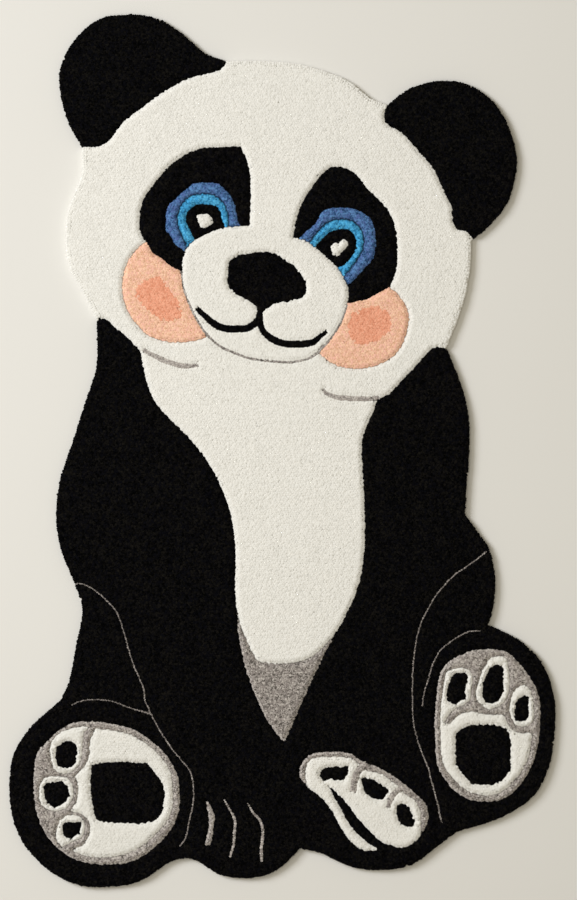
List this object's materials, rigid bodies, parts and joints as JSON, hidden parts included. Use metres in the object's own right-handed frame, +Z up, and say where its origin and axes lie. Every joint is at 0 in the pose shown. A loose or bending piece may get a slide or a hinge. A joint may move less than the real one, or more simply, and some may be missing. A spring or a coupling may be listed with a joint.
{
  "type": "animal shaped kids rug",
  "caption": "Flat tufted floor rug for a child's room, cut to the outline of a sitting panda, with cut pile in plain colour fields and carved borders.",
  "frame": {"origin": "middle of the rug's box in X and Y, at the level of its underside, which rests on the floor", "axes": "+Z up through the pile, +Y from the feet toward the head, +X to the right as the rug is seen from above with its head up"},
  "size_m": [0.9394, 1.5, 0.016],
  "materials": {
    "black_pile": "matt black cut pile",
    "white_pile": "matt warm white cut pile",
    "grey_pile": "matt warm grey cut pile",
    "blue_pile": "matt periwinkle blue cut pile",
    "cyan_pile": "matt bright blue cut pile",
    "peach_pile": "matt peach cut pile",
    "coral_pile": "matt coral cut pile",
    "backing_cloth": "plain woven cotton backing"
  },
  "bodies": {
    "root": {"rug": "black_pile"}
  },
  "joints": []
}
